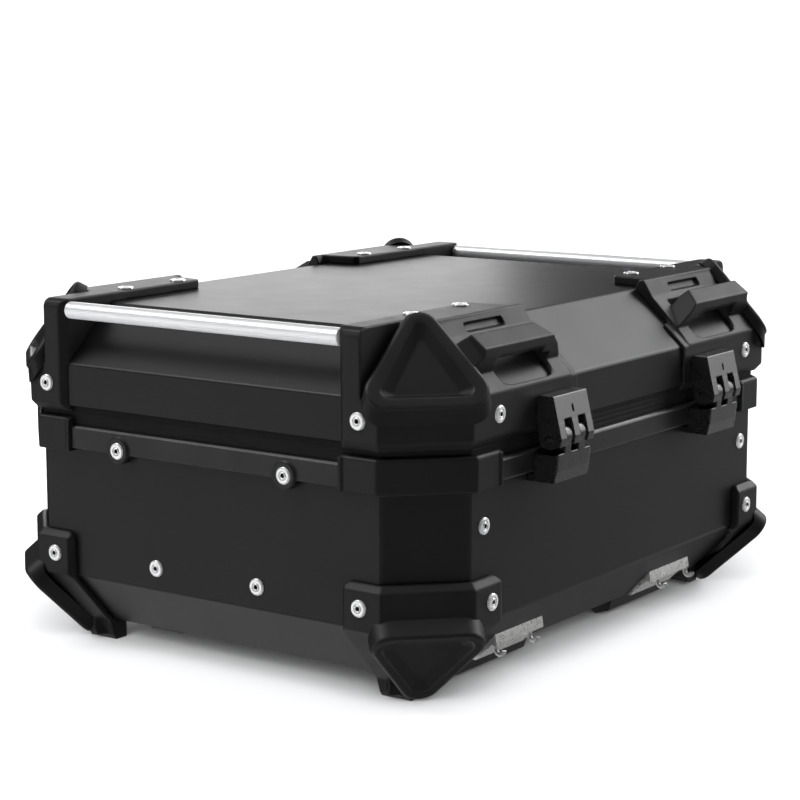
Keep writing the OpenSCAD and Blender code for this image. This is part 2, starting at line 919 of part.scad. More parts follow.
// Push button; its back is cut to the lower slope, with room for its travel
module release_button() {
    back = button_back - button_travel - gap;
    reach = half_y - base_slope + button_travel + 2 * gap;
    bend = floor_z + (-back - reach) / slope_run;
    color("firebrick") along_x(-button_half, button_half, [
        [button_face, button_z0], [back, button_z0], [back, bend],
        [-reach - (button_z1 - floor_z) * slope_run, button_z1], [button_face, button_z1]
    ]);
}

module release_bolt() {
    color(steel) along_x(-bolt_half, bolt_half, [
        [bolt_back, bolt_z0], [bolt_nose - 1.5, bolt_z0], [bolt_nose, bolt_z0 + 1.5],
        [bolt_nose - 4, bolt_z1], [bolt_back, bolt_z1]
    ]);
}

// Spring behind the bolt, as a plain sleeve of its outer size
module release_spring() {
    mid = (bolt_z0 + bolt_z1) / 2;
    color(steel) difference() {
        rod_y(spring_back + 0.1, bolt_back - gap, 0, mid, 2.6);
        rod_y(spring_back - 1, bolt_back, 0, mid, 1.6);
    }
}

module release_lock() {
    color(steel) difference() {
        rod_y(-158.6, lock_back - gap, release_lock_x, release_lock_z, lock_r);
        block([release_lock_x - 0.7, -160, release_lock_z - 3.6],
            [release_lock_x + 0.7, -155, release_lock_z + 3.6]);
    }
}

base_shell();
base_seal();
base_liner();
base_rivets();
guard_rivets();
at_corner(1, -1) rim_rail_side();  // rim_rail_front
rim_rail_side();  // rim_rail_rear
at_corner(-1, 1) rim_rail_end();  // rim_rail_left
rim_rail_end();  // rim_rail_right
rim_corner(-1, -1);  // rim_corner_fl
rim_corner(1, -1);  // rim_corner_fr
rim_corner(-1, 1);  // rim_corner_rl
rim_corner(1, 1);  // rim_corner_rr
base_guard(-1, -1);  // base_guard_fl
base_guard(1, -1);  // base_guard_fr
base_guard(-1, 1);  // base_guard_rl
base_guard(1, 1);  // base_guard_rr
base_pad(-1, -1);  // base_pad_fl
base_pad(1, -1);  // base_pad_fr
base_pad(-1, 1);  // base_pad_rl
base_pad(1, 1);  // base_pad_rr
mount_pan();
hook_plate(-1);  // hook_plate_left
hook_plate(1);  // hook_plate_right
hinge_base(-1);  // hinge_base_left
hinge_base(1);  // hinge_base_right
hinge_pins();
latch_housing(-1);  // latch_housing_left
latch_housing(1);  // latch_housing_right
latch_pins();
release_housing();
release_button();
release_bolt();
release_spring();
release_lock();
lid_shell();
lid_rim();
lid_liner();
lid_rivets();
lid_guard(-1, -1);  // lid_guard_fl
lid_guard(1, -1);  // lid_guard_fr
lid_guard(-1, 1);  // lid_guard_rl
lid_guard(1, 1);  // lid_guard_rr
lid_pad(-1, -1);  // lid_pad_fl
lid_pad(1, -1);  // lid_pad_fr
lid_pad(-1, 1);  // lid_pad_rl
lid_pad(1, 1);  // lid_pad_rr
side_rail(-1);  // side_rail_left
side_rail(1);  // side_rail_right
hinge_lid(-1);  // hinge_lid_left
hinge_lid(1);  // hinge_lid_right
latch_keepers();
latch_lever(-1);  // latch_lever_left
latch_lever(1);  // latch_lever_right
latch_lock(-1);  // latch_lock_left
latch_lock(1);  // latch_lock_right
latch_claw(-1);  // latch_claw_left
latch_claw(1);  // latch_claw_right
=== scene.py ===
import json
import math

import bmesh
import bpy
import numpy as np
from mathutils import Matrix, Vector


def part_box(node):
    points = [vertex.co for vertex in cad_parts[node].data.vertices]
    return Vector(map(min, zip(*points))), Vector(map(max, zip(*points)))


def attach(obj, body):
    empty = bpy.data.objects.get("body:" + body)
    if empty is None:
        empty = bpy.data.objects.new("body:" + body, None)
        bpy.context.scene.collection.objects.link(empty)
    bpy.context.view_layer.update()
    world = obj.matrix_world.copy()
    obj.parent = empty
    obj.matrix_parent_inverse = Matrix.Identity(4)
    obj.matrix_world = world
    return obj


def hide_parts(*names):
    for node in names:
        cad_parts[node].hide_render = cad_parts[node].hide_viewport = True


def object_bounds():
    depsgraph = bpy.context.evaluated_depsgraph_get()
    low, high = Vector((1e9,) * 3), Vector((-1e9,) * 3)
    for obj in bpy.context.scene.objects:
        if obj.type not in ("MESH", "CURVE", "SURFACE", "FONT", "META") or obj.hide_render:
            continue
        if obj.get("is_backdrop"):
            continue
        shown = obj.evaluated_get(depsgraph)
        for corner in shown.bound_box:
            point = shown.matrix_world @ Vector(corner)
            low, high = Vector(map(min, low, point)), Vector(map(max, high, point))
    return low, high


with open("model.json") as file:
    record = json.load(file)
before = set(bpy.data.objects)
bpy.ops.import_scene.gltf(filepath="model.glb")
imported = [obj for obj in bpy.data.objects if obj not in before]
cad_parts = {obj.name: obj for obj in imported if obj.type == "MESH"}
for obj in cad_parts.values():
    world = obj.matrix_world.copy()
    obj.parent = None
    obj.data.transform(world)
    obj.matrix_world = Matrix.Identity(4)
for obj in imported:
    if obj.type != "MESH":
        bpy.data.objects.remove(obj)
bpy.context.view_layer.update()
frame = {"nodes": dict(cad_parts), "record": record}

MM = 0.001
CORNERS = {"fl": (-1, -1), "fr": (1, -1), "rl": (-1, 1), "rr": (1, 1)}
SIDES = {"left": -1, "right": 1}
record = frame["record"]
SLOT = {p["node"]: p["material_slot"] for p in record["subparts"]}
BODY = {n: b for b, names in record["behaviour"]["bodies"].items() for n in names}


# ------------------------------------------------------------------ materials

class Graph:
    """Short names for the node calls that every material makes."""

    def __init__(self, name):
        self.material = bpy.data.materials.new(name)
        self.material.use_nodes = True
        self.tree = self.material.node_tree
        self.shader = self.tree.nodes["Principled BSDF"]
        self.place = self.add("ShaderNodeTexCoord").outputs["Object"]

    def add(self, kind, **inputs):
        node = self.tree.nodes.new(kind)
        for key, value in inputs.items():
            node.inputs[key.replace("_", " ")].default_value = value
        return node

    def link(self, source, target):
        self.tree.links.new(source, target)

    def stretched(self, scale):
        node = self.add("ShaderNodeMapping")
        node.inputs["Scale"].default_value = scale
        self.link(self.place, node.inputs["Vector"])
        return node.outputs["Vector"]

    def noise(self, size, detail=3.0, where=None):
        node = self.add("ShaderNodeTexNoise", Scale=1 / size, Detail=detail, Roughness=0.6)
        self.link(where or self.place, node.inputs["Vector"])
        return node.outputs["Fac"]

    def cells(self, size):
        node = self.add("ShaderNodeTexVoronoi", Scale=1 / size)
        self.link(self.place, node.inputs["Vector"])
        return node.outputs["Color"]

    def ranged(self, value, low, high, start=0.3, end=0.7):
        node = self.add("ShaderNodeMapRange")
        for key, number in (("From Min", start), ("From Max", end), ("To Min", low), ("To Max", high)):
            node.inputs[key].default_value = number
        self.link(value, node.inputs["Value"])
        return node.outputs["Result"]

    def mixed(self, share, low, high):
        node = self.tree.nodes.new("ShaderNodeMix")
        node.data_type = "RGBA"
        self.link(share, node.inputs["Factor"])
        for key, colour in (("A", low), ("B", high)):
            socket = [s for s in node.inputs if s.name == key and s.type == "RGBA"][0]
            if isinstance(colour, bpy.types.NodeSocket):
                self.link(colour, socket)
            else:
                socket.default_value = (*colour, 1)
        return [s for s in node.outputs if s.type == "RGBA"][0]

    def times(self, a, b):
        node = self.tree.nodes.new("ShaderNodeMath")
        node.operation = "MULTIPLY"
        self.link(a, node.inputs[0])
        self.link(b, node.inputs[1])
        return node.outputs[0]


ZINC_CRYSTAL = 0.0035
RUBBED_SMOOTHER = 0.7


def finish_of(name, colour, rough, metallic=0.0, level=0.3, tone=0.14, tone_size=0.06,
              grain=0.0006, depth=2e-5, worn=None, worn_share=0.8, streaks=None, spangle=0.0,
              uneven=0.05):
    """A surface: its colour drifts, its gloss is uneven, its grain is a bump and its edges are worn.
    streaks stretches the drift along an axis, and spangle adds zinc's crystal patches."""
    g = Graph(name)
    where = g.stretched(streaks) if streaks else None
    drift = g.noise(tone_size, 4.0, where)
    base = g.mixed(g.ranged(drift, 0, 1), [c * (1 - tone) for c in colour],
                   [min(c * (1 + tone), 1) for c in colour])
    if spangle:
        grey = g.add("ShaderNodeSeparateColor")
        g.link(g.cells(ZINC_CRYSTAL), grey.inputs[0])
        base = g.mixed(g.ranged(grey.outputs[0], 0, 1, 0, 1), base,
                       [c * (1 - spangle) for c in colour])
    gloss = g.ranged(g.noise(tone_size / 4, 3.0, where), rough - uneven, rough + uneven)
    edge = g.add("ShaderNodeAttribute")
    edge.attribute_name = "edge"
    rubbed = g.times(edge.outputs["Fac"], g.ranged(g.noise(0.006), 0.45, worn_share, 0.35, 0.65))
    if worn:
        base = g.mixed(rubbed, base, worn)
    g.link(base, g.shader.inputs["Base Color"])
    smoother = g.add("ShaderNodeMix")
    g.link(rubbed, smoother.inputs["Factor"])
    g.link(gloss, smoother.inputs["A"])
    smoother.inputs["B"].default_value = rough * RUBBED_SMOOTHER
    g.link(smoother.outputs["Result"], g.shader.inputs["Roughness"])
    bump = g.add("ShaderNodeBump", Strength=0.6, Distance=depth)
    g.link(g.noise(grain, 2.0, where), bump.inputs["Height"])
    g.link(bump.outputs["Normal"], g.shader.inputs["Normal"])
    g.shader.inputs["Metallic"].default_value = metallic
    g.shader.inputs["Specular IOR Level"].default_value = level
    return g.material


SURFACES = {
    "black_sheet": finish_of("black_sheet", (0.0126, 0.0122, 0.0138), 0.40, level=0.25, tone=0.10,
                             tone_size=0.09, grain=0.0007, depth=4e-5, worn=(0.017, 0.017, 0.018),
                             worn_share=0.3, uneven=0.012),
    "black_profile": finish_of("black_profile", (0.013, 0.0127, 0.0138), 0.38, level=0.38,
                               tone=0.10, worn=(0.03, 0.03, 0.031)),
    "armour_plastic": finish_of("armour_plastic", (0.0118, 0.0116, 0.0125), 0.47, level=0.28, uneven=0.03,
                                grain=0.0005, depth=3.5e-5, worn=(0.026, 0.026, 0.027)),
    "seal_rubber": finish_of("seal_rubber", (0.009, 0.009, 0.009), 0.66, level=0.2,
                             grain=0.0012, depth=1e-5),
    "foam_lining": finish_of("foam_lining", (0.022, 0.022, 0.024), 0.9, level=0.15, tone=0.25,
                             tone_size=0.03, grain=0.0014, depth=2e-4),
    "rivet_steel": finish_of("rivet_steel", (0.99, 0.99, 0.99), 0.2, metallic=0.6, tone=0.03,
                             tone_size=0.006, grain=0.002, depth=2e-6, level=0.5),
    "zinc_steel": finish_of("zinc_steel", (0.84, 0.84, 0.81), 0.3, metallic=0.8, tone=0.12,
                            tone_size=0.01, grain=0.0016, depth=1e-5, spangle=0.1),
    "pin_steel": finish_of("pin_steel", (0.34, 0.34, 0.35), 0.32, metallic=1.0, tone=0.12,
                           tone_size=0.01, streaks=(0.05, 1, 1)),
    "rail_aluminium": finish_of("rail_aluminium", (0.95, 0.955, 0.965), 0.34, metallic=0.35,
                                level=0.5, tone=0.04, tone_size=0.004, grain=0.0005, depth=5e-6,
                                streaks=(1, 0.02, 1)),
    "hinge_alloy": finish_of("hinge_alloy", (0.014, 0.014, 0.0145), 0.28, level=0.7, tone=0.14,
                             tone_size=0.02, grain=0.0011, depth=4e-6, worn=(0.03, 0.03, 0.031),
                             uneven=0.015),
    "latch_steel": finish_of("latch_steel", (0.02, 0.02, 0.021), 0.36, metallic=0.4, tone=0.2,
                             tone_size=0.012, worn=(0.10, 0.10, 0.10)),
    "lock_chrome": finish_of("lock_chrome", (0.85, 0.86, 0.87), 0.16, metallic=1.0, tone=0.05,
                             tone_size=0.004, grain=0.001, depth=5e-6),
    "button_plastic": finish_of("button_plastic", (0.32, 0.014, 0.014), 0.3, level=0.5, tone=0.1,
                                tone_size=0.02, grain=0.0008, depth=1e-5, worn=(0.42, 0.05, 0.05)),
}
# Near-black painted shade for the rivets' hollow middles, standing in for the shadow inside the hole
HOLLOW_SHADE = finish_of("rivet_hollow_painted_shade", (0.02, 0.02, 0.02), 0.5, metallic=0.6, tone_size=0.002)


# ------------------------------------------------------------------ mesh tools

MERGE = 2e-5
FULL_WEAR = 4.5


def edge_layer(bm):
    """The faces' share of edge wear."""
    return bm.faces.layers.float.get("edge") or bm.faces.layers.float.new("edge")


def make(name, bm, materials, angle=38):
    """Turns a bmesh into a linked object with smooth, weighted normals."""
    bmesh.ops.recalc_face_normals(bm, faces=bm.faces)
    mesh = bpy.data.meshes.new(name)
    bm.to_mesh(mesh)
    bm.free()
    for m in materials:
        mesh.materials.append(m)
    mesh.shade_smooth()
    mesh.set_sharp_from_angle(angle=math.radians(angle))
    piece = bpy.data.objects.new(name, mesh)
    bpy.context.scene.collection.objects.link(piece)
    weighted = piece.modifiers.new("weighted", "WEIGHTED_NORMAL")
    weighted.keep_sharp = True
    return piece


def stand_for(piece, *names):
    """The piece rides with these CAD nodes' body and is shown in their place."""
    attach(piece, BODY[names[0]])
    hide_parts(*names)


def cad_mesh(node, merge=MERGE, whole=lambda edge: True):
    """The node's surface, with its flat faces whole again across the edges that whole names."""
    bm = bmesh.new()
    bm.from_mesh(frame["nodes"][node].data)
    bmesh.ops.remove_doubles(bm, verts=bm.verts, dist=merge)
    bmesh.ops.dissolve_degenerate(bm, edges=bm.edges, dist=merge)
    bmesh.ops.dissolve_limit(bm, angle_limit=math.radians(0.8), verts=bm.verts,
                             edges=[e for e in bm.edges if whole(e)])
    return bm


def turn(edge):
    """Degrees between the two faces at an edge."""
    return math.degrees(edge.calc_face_angle(0)) if len(edge.link_faces) == 2 else 0


def round_edges(bm, width, segments, chosen):
    """Rounds the chosen edges and marks the new strips as edges for wear."""
    layer = edge_layer(bm)
    edges = [e for e in bm.edges if chosen(e)]
    if not edges:
        return
    made = bmesh.ops.bevel(bm, geom=edges, offset=width, offset_type="OFFSET", segments=segments,
                           profile=0.5, affect="EDGES", clamp_overlap=True)
    for face in made["faces"]:
        face[layer] = 1.0


def soften(node, width, segments, merge):
    """A CAD node again with its sharp edges rounded."""
    bm = cad_mesh(node, merge)
    edge_layer(bm)
    round_edges(bm, width, segments, lambda e: turn(e) > 25)
    stand_for(make(node + "_soft", bm, [SURFACES[SLOT[node]]]), node)


def loft(bm, rings, closed=False, capped=False, marks=()):
    """Joins rings of equal length with faces. marks are the strips that wear as edges."""
    layer = edge_layer(bm)
    made = [[bm.verts.new(p) for p in ring] for ring in rings]
    count = len(made[0])
    pairs = list(zip(made, made[1:])) + ([(made[-1], made[0])] if closed else [])
    for k, (a, b) in enumerate(pairs):
        for i in range(count):
            j = (i + 1) % count
            face = bm.faces.new((a[i], a[j], b[j], b[i]))
            face[layer] = 1.0 if k in marks else 0.0
    if capped:
        bm.faces.new(list(reversed(made[0])))
        bm.faces.new(made[-1])


def spin(bm, profile, place, count=40, material=None):
    """Turns a profile of (radius, height) round the placed +Z axis. Radius 0 makes a point."""
    rings = []
    for r, h in profile:
        if r < 1e-9:
            rings.append([bm.verts.new(place @ Vector((0, 0, h)))])
        else:
            rings.append([bm.verts.new(place @ Vector(
                (r * math.cos(2 * math.pi * i / count), r * math.sin(2 * math.pi * i / count), h)))
                for i in range(count)])
    for k, (a, b) in enumerate(zip(rings, rings[1:])):
        for i in range(count):
            j = (i + 1) % count
            if len(a) == 1:
                face = bm.faces.new((a[0], b[j], b[i]))
            elif len(b) == 1:
                face = bm.faces.new((a[i], a[j], b[0]))
            else:
                face = bm.faces.new((a[i], a[j], b[j], b[i]))
            face.material_index = material(k) if material else 0


def facing(point, normal):
    """Places a turned shape at the point with its axis along the normal."""
    return Matrix.Translation(point) @ Vector((0, 0, 1)).rotation_difference(normal).to_matrix().to_4x4()


def prism(outline, near, far, place):
    """The outline swept from near to far, where place turns (a, b, sweep) into a point."""
    bm = bmesh.new()
    ends = [[bm.verts.new(place(a, b, t)) for a, b in outline] for t in (near, far)]
    bm.faces.new(ends[0])
    bm.faces.new(list(reversed(ends[1])))
    count = len(outline)
    for i in range(count):
        j = (i + 1) % count
        bm.faces.new((ends[0][i], ends[1][i], ends[1][j], ends[0][j]))
    bmesh.ops.recalc_face_normals(bm, faces=bm.faces)
    return bm


def cut_off(bm, point, normal):
    """Takes away what lies beyond the plane, and gives the new edges and points on it."""
    return bmesh.ops.bisect_plane(bm, geom=bm.verts[:] + bm.edges[:] + bm.faces[:], plane_co=point,
                                  plane_no=normal, clear_outer=True)["geom_cut"]


def clipped(bm, point, normal):
    """The solid without what lies beyond the plane."""
    cut = cut_off(bm, point, normal)
    bmesh.ops.holes_fill(bm, edges=[g for g in cut if isinstance(g, bmesh.types.BMEdge)])
    return bm


def helper_object(source):
    """A passing object for the modifiers to work on, from a bmesh or a mesh."""
    mesh = bpy.data.meshes.new("helper")
    if isinstance(source, bmesh.types.BMesh):
        source.to_mesh(mesh)
        source.free()
    else:
        mesh = source.copy()
    made = bpy.data.objects.new("helper", mesh)
    bpy.context.scene.collection.objects.link(made)
    return made


def result_of(made, spent=()):
    """The object's mesh with its modifiers applied. The helpers are thrown away."""
    mesh = bpy.data.meshes.new_from_object(made.evaluated_get(bpy.context.evaluated_depsgraph_get()))
    for helper in (made, *spent):
        bpy.data.objects.remove(helper)
    return mesh


def mark_convex(mesh, start, full):
    """Marks outer edges for wear, by how tightly the surface turns there."""
    count = len(mesh.vertices)
    points, normals = np.empty(count * 3, np.float32), np.empty(count * 3, np.float32)
    mesh.vertices.foreach_get("co", points)
    mesh.vertices.foreach_get("normal", normals)
    points, normals = points.reshape(-1, 3), normals.reshape(-1, 3)
    ends = np.empty(len(mesh.edges) * 2, np.int32)
    mesh.edges.foreach_get("vertices", ends)
    bend, edges_at = np.zeros(count), np.zeros(count)
    for here, there in ((ends[0::2], ends[1::2]), (ends[1::2], ends[0::2])):
        step = points[there] - points[here]
        drop = -(step * normals[here]).sum(1) / ((step * step).sum(1) + 1e-12)
        np.add.at(bend, here, drop)
        np.add.at(edges_at, here, 1)
    share = np.clip((bend / np.maximum(edges_at, 1) - start) / (full - start), 0, 1)
    mesh.attributes.new("edge", "FLOAT", "POINT").data.foreach_set("value", share.astype(np.float32))


def moulded(node, grain, passes, add=(), cut=(), kept=0.4, wear=0.07, shaped=None):
    """A CAD node as one moulding: solids are cut and melted in, and every edge gets a fillet.
    wear is how tight an edge, against the grain, starts to rub."""
    source = frame["nodes"][node].data.copy()
    if shaped:
        for v in source.vertices:
            v.co = shaped(v.co)
    base = helper_object(source)
    cutters = [helper_object(c) for c in cut]
    for cutter in cutters:
        m = base.modifiers.new("cut", "BOOLEAN")
        m.operation, m.object, m.solver = "DIFFERENCE", cutter, "EXACT"
    bm = bmesh.new()
    bm.from_mesh(result_of(base, cutters))
    for solid in add:
        mesh = bpy.data.meshes.new("solid")
        solid.to_mesh(mesh)
        solid.free()
        bm.from_mesh(mesh)
    melted = helper_object(bm)
    m = melted.modifiers.new("melt", "REMESH")
    m.mode, m.voxel_size = "VOXEL", grain
    m = melted.modifiers.new("smooth", "SMOOTH")
    m.factor, m.iterations = 0.5, passes
    if kept < 1:
        m = melted.modifiers.new("thin", "DECIMATE")
        m.ratio = kept
    mesh = result_of(melted)
    mark_convex(mesh, wear / grain, FULL_WEAR * wear / grain)
    mesh.materials.append(SURFACES[SLOT[node]])
    mesh.shade_smooth()
    piece = bpy.data.objects.new(node + "_moulded", mesh)
    bpy.context.scene.collection.objects.link(piece)
    stand_for(piece, node)


def islands(node):
    """(middle, lowest, highest) of each separate solid in a CAD node."""
    bm = cad_mesh(node)
    left, found = set(bm.verts), []
    while left:
        stack, group = [left.pop()], []
        while stack:
            v = stack.pop()
            group.append(v.co.copy())
            for e in v.link_edges:
                other = e.other_vert(v)
                if other in left:
                    left.remove(other)
                    stack.append(other)
        low = Vector([min(p[i] for p in group) for i in range(3)])
        high = Vector([max(p[i] for p in group) for i in range(3)])
        found.append(((low + high) / 2, low, high))
    bm.free()
    return sorted(found, key=lambda f: tuple(round(c, 4) for c in f[0]))


# ------------------------------------------------------------------ sheet body and lid

def folded_shell(node, fold):
    """Sheet: wide rounds along its folds and a fine one along its cut rim."""
    low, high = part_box(node)
    rim = high.z if node.startswith("base") else low.z
    burr = 0.35 * MM

    def off_rim(e):
        return any(abs(v.co.z - rim) > 1e-4 for v in e.verts)

    def is_fold(e):
        return turn(e) > 20 and off_rim(e)

    bm = cad_mesh(node, whole=off_rim)
    edge_layer(bm)
    round_edges(bm, fold, 4, is_fold)
    round_edges(bm, burr, 2, lambda e: turn(e) > 60)
    stand_for(make(node + "_folded", bm, [SURFACES["black_sheet"]]), node)


folded_shell("base_shell", 1.6 * MM)
folded_shell("lid_shell", 1.4 * MM)


# ------------------------------------------------------------------ rubber seal

def rounded_octagon(hx, hy, hw, radius, steps=5):
    """Points round an eight-sided outline whose corners are rounded."""
    cut = hw * math.sqrt(2)
    quarter = [Vector((hx, cut - hx)), Vector((cut - hy, hy))]
    ring = []
    for sx, sy, flip in ((1, 1, False), (-1, 1, True), (-1, -1, False), (1, -1, True)):
        points = [Vector((sx * p.x, sy * p.y)) for p in quarter]
        ring += list(reversed(points)) if flip else points
    out = []
    count = len(ring)
    for i, p in enumerate(ring):
        back = (ring[i - 1] - p).normalized()
        on = (ring[(i + 1) % count] - p).normalized()
        reach = radius * math.tan(math.radians(22.5))
        a, b = p + back * reach, p + on * reach
        for k in range(steps):
            t = k / (steps - 1)
            out.append(a.lerp(p, t).lerp(p.lerp(b, t), t))
    return out


def diagonal_reach(node):
    """How far from the middle the node's four cut corners stand."""
    return max((abs(v.co.x) + abs(v.co.y)) / math.sqrt(2) for v in frame["nodes"][node].data.vertices)


def make_seal():
    """The rubber between body and lid, with grooves running round it."""
    low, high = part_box("base_seal")
    hw = diagonal_reach("base_seal")
    depth = 6 * MM
    corner_r = 5 * MM
    ribs = 4
    groove = 0.18 * MM
    lip = 0.3 * MM
    pitch = (high.z - low.z) / ribs
    profile = [(-depth, low.z), (0, low.z)]
    for k in range(ribs):
        z = low.z + k * pitch
        profile += [(0, z + pitch * 0.14), (0, z + pitch * 0.62),
                    (-groove, z + pitch * 0.76), (-groove, z + pitch * 0.9)]
    profile += [(-lip, high.z), (-depth, high.z)]
    bm = bmesh.new()
    rings = [[Vector((p.x, p.y, z))
              for p in rounded_octagon(high.x + d, high.y + d, hw + d, corner_r + d)]
             for d, z in profile]
    loft(bm, rings, closed=True)
    stand_for(make("seal_ribbed", bm, [SURFACES["seal_rubber"]], angle=30), "base_seal")


make_seal()


# ------------------------------------------------------------------ corner pads

class Pad:
    """A rounded triangular bumper on a corner's diagonal, in its own frame: n out, s sideways, v along."""

    def __init__(self, node, sx, sy, lean, downwards):
        a = math.radians(lean)
        diagonal = Vector((sx, sy, 0)).normalized()
        self.n = diagonal * math.cos(a) + Vector((0, 0, (-1 if downwards else 1) * math.sin(a)))
        self.v = -diagonal * math.sin(a) + Vector((0, 0, (-1 if downwards else 1) * math.cos(a)))
        self.s = Vector((-diagonal.y, diagonal.x, 0))
        points = [v.co for v in frame["nodes"][node].data.vertices]
        self.front = max(p.dot(self.n) for p in points)
        side = [p.dot(self.s) for p in points]
        self.middle = (min(side) + max(side)) / 2
        face = [p for p in points if p.dot(self.n) > self.front - 1e-4]
        self.start = min(p.dot(self.v) for p in face) - 2 * MM

    def at(self, side, along, out):
        return (self.s * (self.middle + side) + self.v * (self.start + along)
                + self.n * (self.front + out))


def triangle(half, height, radius, start, steps=9):
    """Points (side, along) round an isosceles triangle whose corners have that radius."""
    centres = [(half - radius, start + radius), (0, start + height - radius),
               (-half + radius, start + radius)]
    slope = math.atan2(half - radius, height - 2 * radius)
    turns = [(-math.pi / 2, slope), (slope, math.pi - slope), (math.pi - slope, 1.5 * math.pi)]
    ring = []
    for (cx, cy), (a0, a1) in zip(centres, turns):
        for k in range(steps):
            a = a0 + (a1 - a0) * k / (steps - 1)
            ring.append((cx + radius * math.cos(a), cy + radius * math.sin(a)))
    return ring


def inset(shape, by):
    """The triangle's (half, height, radius, start), drawn in on every side."""
    half, height, radius, start = shape
    return half - by, height - 2 * by, max(radius - by, 0.8 * MM), start + by


def make_pad(node, pad, foot, outer, opening, floor, depth, back):
    """foot is the outline at the back and the others are outlines at the front and in the recess.
    back says how far behind the face each point of the foot lies."""
    round_r = 2.8 * MM
    steps = 5
    rings = [[(x, y, back(y)) for x, y in triangle(*foot)]]
    rings.append([(x0 + (x1 - x0) * 0.55, y0 + (y1 - y0) * 0.55, back(y0) * 0.42 - round_r * 0.6)
                  for (x0, y0), (x1, y1) in zip(triangle(*foot), triangle(*outer))])
    for k in range(steps + 1):
        a = math.pi / 2 * k / steps
        shape = inset(outer, round_r * (1 - math.cos(a)))
        rings.append([(x, y, -round_r * (1 - math.sin(a))) for x, y in triangle(*shape)])
    crest = len(rings) - 1
    for by, out in ((-1.6, -0.1), (-0.6, -0.15), (0.1, -0.5), (0.6, -1.1)):
        rings.append([(x, y, out * MM) for x, y in triangle(*inset(opening, by * MM))])
    for by, out in ((-0.6, 0.55), (0, 0.15), (1.0, 0)):
        rings.append([(x, y, -depth + out * MM) for x, y in triangle(*inset(floor, by * MM))])
    middle = (0, floor[3] + floor[1] * 0.38)
    for share, out in ((0.66, 0.1), (0.33, 0.2)):
        rings.append([(middle[0] + (x - middle[0]) * share, middle[1] + (y - middle[1]) * share,
                       -depth + out * MM) for x, y in triangle(*inset(floor, 1.0 * MM))])
    bm = bmesh.new()
    placed = [[pad.at(*p) for p in ring] for ring in rings]
    loft(bm, placed, capped=True, marks=(crest - 2, crest - 1, crest + 2, crest + 3))
    stand_for(make(node + "_pad", bm, [SURFACES["armour_plastic"]], angle=50), node)


def scaled(*shape):
    """A triangle's sizes, given in millimetres."""
    return tuple(v * MM for v in shape)


def lid_back(along):
    """The same depth all along."""
    return -8 * MM


def base_back(along):
    """Thick under the ledge at its upper side, thinner down the slope."""
    share = min(max((along - 3 * MM) / (6 * MM), 0), 1)
    return (-14 + 4 * share) * MM


PAD_FACE = scaled(35.6, 61, 12, 5)
LID_PAD = {c: Pad(f"lid_pad_{c}", sx, sy, 34, False) for c, (sx, sy) in CORNERS.items()}
BASE_PAD = {c: Pad(f"base_pad_{c}", sx, sy, 39.7, True) for c, (sx, sy) in CORNERS.items()}
for corner in CORNERS:
    make_pad(f"lid_pad_{corner}", LID_PAD[corner], scaled(37, 68.6, 13, -2), PAD_FACE,
             scaled(26.5, 47.5, 5, 12), scaled(19.3, 35, 1.6, 15), 4 * MM, lid_back)
    make_pad(f"base_pad_{corner}", BASE_PAD[corner], scaled(33.6, 64.4, 12, 0),
             scaled(33.2, 64, 12, 0.3), scaled(26.5, 50.5, 7, 5.2), scaled(20, 37.5, 3, 10), 3.4 * MM,
             base_back)


# ------------------------------------------------------------------ rivets

# A blind rivet's head from its rim to its middle, as (radius, height) in millimetres
RIVET = [(5.2, 0), (5.2, 0.5), (5.05, 0.85), (4.75, 1.08), (4.2, 1.22), (3.4, 1.3), (2.75, 1.3),
         (2.55, 1.12), (2.35, 1.12), (2.15, 1.42), (1.8, 1.55), (1.5, 1.5), (1.3, 1.1), (1.2, 0.35),
         (0.9, 0.3), (0.75, 0.55), (0, 0.6)]
# Faces from this ring of the profile inwards take the near-black painted shade of the hole
HOLLOW_SHADE_FROM = 12


def rivet_seat(middle, low, high):
    """The place of a rivet's foot on its sheet, facing outwards along its thin side."""
    axis = min(range(3), key=lambda i: (high - low)[i])
    normal = Vector((0, 0, 0))
    normal[axis] = 1 if axis == 2 else math.copysign(1, middle[axis])
    foot = middle.copy()
    foot[axis] = low[axis] if normal[axis] > 0 else high[axis]
    return facing(foot, normal)


def make_rivets(node):
    """Turned heads, open at the back, in place of the node's plain ones. Their hollow middles carry a
    near-black painted shade that stands in for the shadow in the hole.
    """
    bm = bmesh.new()
    for middle, low, high in islands(node):
        scale = max(high - low) / 2 / RIVET[0][0]
        spin(bm, [(r * scale, h * MM) for r, h in RIVET], rivet_seat(middle, low, high), 36,
             lambda k: 1 if k >= HOLLOW_SHADE_FROM else 0)
    stand_for(make(node + "_heads", bm, [SURFACES["rivet_steel"], HOLLOW_SHADE], angle=60), node)


for node in ("base_rivets", "guard_rivets", "lid_rivets"):
    make_rivets(node)


# A raised ring from its middle to its foot, as (radius, height) in millimetres
BOSS = [(0, 0.5), (6.2, 0.5), (6.9, 0.75), (7.6, 0.75), (8.1, 0.45), (8.2, -1.5)]


def make_bosses():
    """Raised rings on the rim rails around the rivets that hold them."""
    bm = bmesh.new()
    rail_low, rail_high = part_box("rim_rail_rear")
    for middle, low, high in islands("base_rivets"):
        if rail_low.z < middle.z < rail_high.z:
            spin(bm, [(r * MM, h * MM) for r, h in BOSS], rivet_seat(middle, low, high))
    piece = make("rim_bosses", bm, [SURFACES["black_profile"]], angle=50)
    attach(piece, BODY["rim_rail_rear"])


make_bosses()


# ------------------------------------------------------------------ rods, pins and locks

